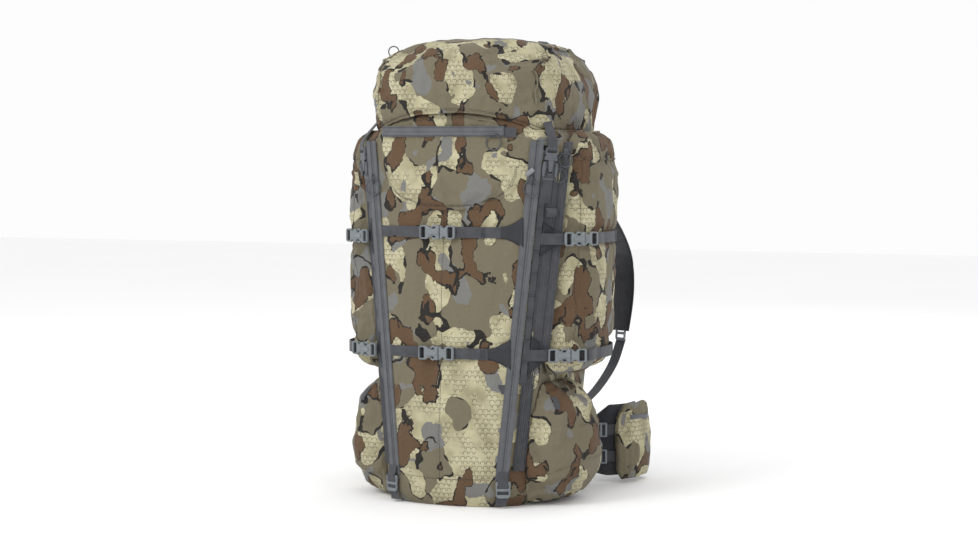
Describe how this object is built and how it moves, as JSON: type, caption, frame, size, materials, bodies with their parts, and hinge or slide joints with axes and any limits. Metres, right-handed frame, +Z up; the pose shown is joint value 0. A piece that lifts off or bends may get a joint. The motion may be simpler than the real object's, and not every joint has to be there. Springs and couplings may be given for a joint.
{
  "type": "hunting backpack",
  "caption": "Tall camouflage load-carrying pack with a hinged lid, buckled straps, zips, side pockets, shoulder harness and hip belt.",
  "frame": {"origin": "middle of the flat base, on the floor", "axes": "+Z up, -Y the front of the pack, +Y the wearer's side, +X to the right seen from the front"},
  "size_m": [0.5085, 0.601, 0.8475],
  "materials": {
    "camo_cloth": null,
    "dark_cloth": "ribbed and meshed padding cloth",
    "webbing": "woven nylon webbing",
    "buckle_plastic": "moulded acetal",
    "frame_plastic": "plain sheet",
    "zip_metal": "grey painted die casting"
  },
  "bodies": {
    "root": {"back_pad": "dark_cloth", "base_panel": "camo_cloth", "frame_sheet": "frame_plastic", "front_lower_buckle_socket": "buckle_plastic", "front_lower_strap": "webbing", "front_panel": "camo_cloth", "front_pocket": "camo_cloth", "front_upper_buckle_socket": "buckle_plastic", "front_upper_strap": "webbing", "left_bottom_strap": "webbing", "left_lid_socket": "buckle_plastic", "left_load_lifter": "webbing", "left_lower_buckle_socket": "buckle_plastic", "left_lower_pocket": "camo_cloth", "left_lower_side_strap": "webbing", "left_lower_webbing": "webbing", "left_side_panel": "camo_cloth", "left_side_pocket": "camo_cloth", "left_upper_buckle_socket": "buckle_plastic", "left_upper_side_strap": "webbing", "lumbar_pad": "dark_cloth", "rear_panel": "dark_cloth", "right_bottom_strap": "webbing", "right_lid_socket": "buckle_plastic", "right_load_lifter": "webbing", "right_lower_buckle_socket": "buckle_plastic", "right_lower_pocket": "camo_cloth", "right_lower_side_strap": "webbing", "right_lower_webbing": "webbing", "right_side_panel": "camo_cloth", "right_side_pocket": "camo_cloth", "right_upper_buckle_socket": "buckle_plastic", "right_upper_side_strap": "webbing"},
    "lid": {"lid": "camo_cloth", "left_lid_clip": "buckle_plastic", "right_lid_clip": "buckle_plastic"},
    "front_upper_clip": {"front_upper_buckle_clip": "buckle_plastic"},
    "front_lower_clip": {"front_lower_buckle_clip": "buckle_plastic"},
    "left_upper_clip": {"left_upper_buckle_clip": "buckle_plastic"},
    "right_upper_clip": {"right_upper_buckle_clip": "buckle_plastic"},
    "left_lower_clip": {"left_lower_buckle_clip": "buckle_plastic"},
    "right_lower_clip": {"right_lower_buckle_clip": "buckle_plastic"},
    "harness": {"left_shoulder_strap": "dark_cloth", "right_shoulder_strap": "dark_cloth"},
    "sternum": {"sternum_strap": "webbing"},
    "left_hip": {"left_hip_wing": "dark_cloth", "left_hip_pouch": "camo_cloth", "hip_buckle_socket": "buckle_plastic"},
    "right_hip": {"right_hip_wing": "dark_cloth", "right_hip_pouch": "camo_cloth", "hip_buckle_clip": "buckle_plastic"},
    "left_lock": {"left_bottom_ladder_lock": "buckle_plastic"},
    "right_lock": {"right_bottom_ladder_lock": "buckle_plastic"},
    "left_slider": {"left_front_zip_slider": "zip_metal"},
    "left_ring": {"left_front_zip_ring": "zip_metal"},
    "right_slider": {"right_front_zip_slider": "zip_metal"},
    "right_ring": {"right_front_zip_ring": "zip_metal"},
    "pocket_slider": {"pocket_zip_slider": "zip_metal"},
    "pocket_ring": {"pocket_zip_ring": "zip_metal"},
    "grab_handle": {"grab_handle": "webbing"}
  },
  "joints": [
    {"name": "lid_hinge", "type": "hinge", "parent": "root", "child": "lid", "pos_m": [0, 0.118, 0.672], "axis": [-1, 0, 0], "range_deg": [0, 90]},
    {"name": "front_upper_clip_slide", "type": "slide", "parent": "root", "child": "front_upper_clip", "axis": [0.9996, -0.028, 0], "range_m": [0, 0.025]},
    {"name": "front_lower_clip_slide", "type": "slide", "parent": "root", "child": "front_lower_clip", "axis": [0.9994, -0.0359, 0], "range_m": [0, 0.025]},
    {"name": "left_upper_clip_slide", "type": "slide", "parent": "root", "child": "left_upper_clip", "axis": [-0.8638, 0.5038, 0], "range_m": [0, 0.025]},
    {"name": "right_upper_clip_slide", "type": "slide", "parent": "root", "child": "right_upper_clip", "axis": [0.6301, 0.7765, 0], "range_m": [0, 0.025]},
    {"name": "left_lower_clip_slide", "type": "slide", "parent": "root", "child": "left_lower_clip", "axis": [-0.8977, 0.4407, 0], "range_m": [0, 0.025]},
    {"name": "right_lower_clip_slide", "type": "slide", "parent": "root", "child": "right_lower_clip", "axis": [0.8797, 0.4755, 0], "range_m": [0, 0.025]},
    {"name": "harness_swing", "type": "hinge", "parent": "root", "child": "harness", "pos_m": [0, 0.127, 0.556], "axis": [1, 0, 0], "range_deg": [-8, 30], "deforming": ["left_lower_webbing", "right_lower_webbing", "left_load_lifter", "right_load_lifter"]},
    {"name": "sternum_slide", "type": "slide", "parent": "harness", "child": "sternum", "axis": [0, 0, 1], "range_m": [-0.035, 0.015]},
    {"name": "left_hip_hinge", "type": "hinge", "parent": "root", "child": "left_hip", "pos_m": [-0.1, 0.136, 0.075], "axis": [0, 0, -1], "range_deg": [-12, 40]},
    {"name": "right_hip_hinge", "type": "hinge", "parent": "root", "child": "right_hip", "pos_m": [0.1, 0.136, 0.075], "axis": [0, 0, 1], "range_deg": [-12, 40]},
    {"name": "left_ladder_lock_tilt", "type": "hinge", "parent": "root", "child": "left_lock", "pos_m": [-0.10974, -0.20391, 0.046], "axis": [-0.9272, 0.3746, 0], "range_deg": [0, 30]},
    {"name": "right_ladder_lock_tilt", "type": "hinge", "parent": "root", "child": "right_lock", "pos_m": [0.10974, -0.20391, 0.046], "axis": [-0.9272, -0.3746, 0], "range_deg": [0, 30]},
    {"name": "left_front_zip", "type": "slide", "parent": "root", "child": "left_slider", "axis": [0.0955, -0.0398, -0.9946], "range_m": [0, 0.485]},
    {"name": "left_front_ring_swing", "type": "hinge", "parent": "left_slider", "child": "left_ring", "pos_m": [-0.15664, -0.1836, 0.59024], "axis": [-0.9954, -0.0038, -0.0954], "range_deg": [0, 110]},
    {"name": "right_front_zip", "type": "slide", "parent": "root", "child": "right_slider", "axis": [-0.0955, -0.0398, -0.9946], "range_m": [0, 0.485]},
    {"name": "right_front_ring_swing", "type": "hinge", "parent": "right_slider", "child": "right_ring", "pos_m": [0.15664, -0.1836, 0.59024], "axis": [-0.9954, 0.0038, 0.0954], "range_deg": [0, 110]},
    {"name": "pocket_zip", "type": "slide", "parent": "root", "child": "pocket_slider", "axis": [-1, 0, 0], "range_m": [0, 0.2]},
    {"name": "pocket_ring_swing", "type": "hinge", "parent": "pocket_slider", "child": "pocket_ring", "pos_m": [0.0865, -0.19248, 0.673], "axis": [-1, 0, 0], "range_deg": [0, 110]},
    {"name": "grab_handle_swing", "type": "hinge", "parent": "root", "child": "grab_handle", "pos_m": [0, 0.121, 0.64], "axis": [1, 0, 0], "range_deg": [0, 90]}
  ]
}
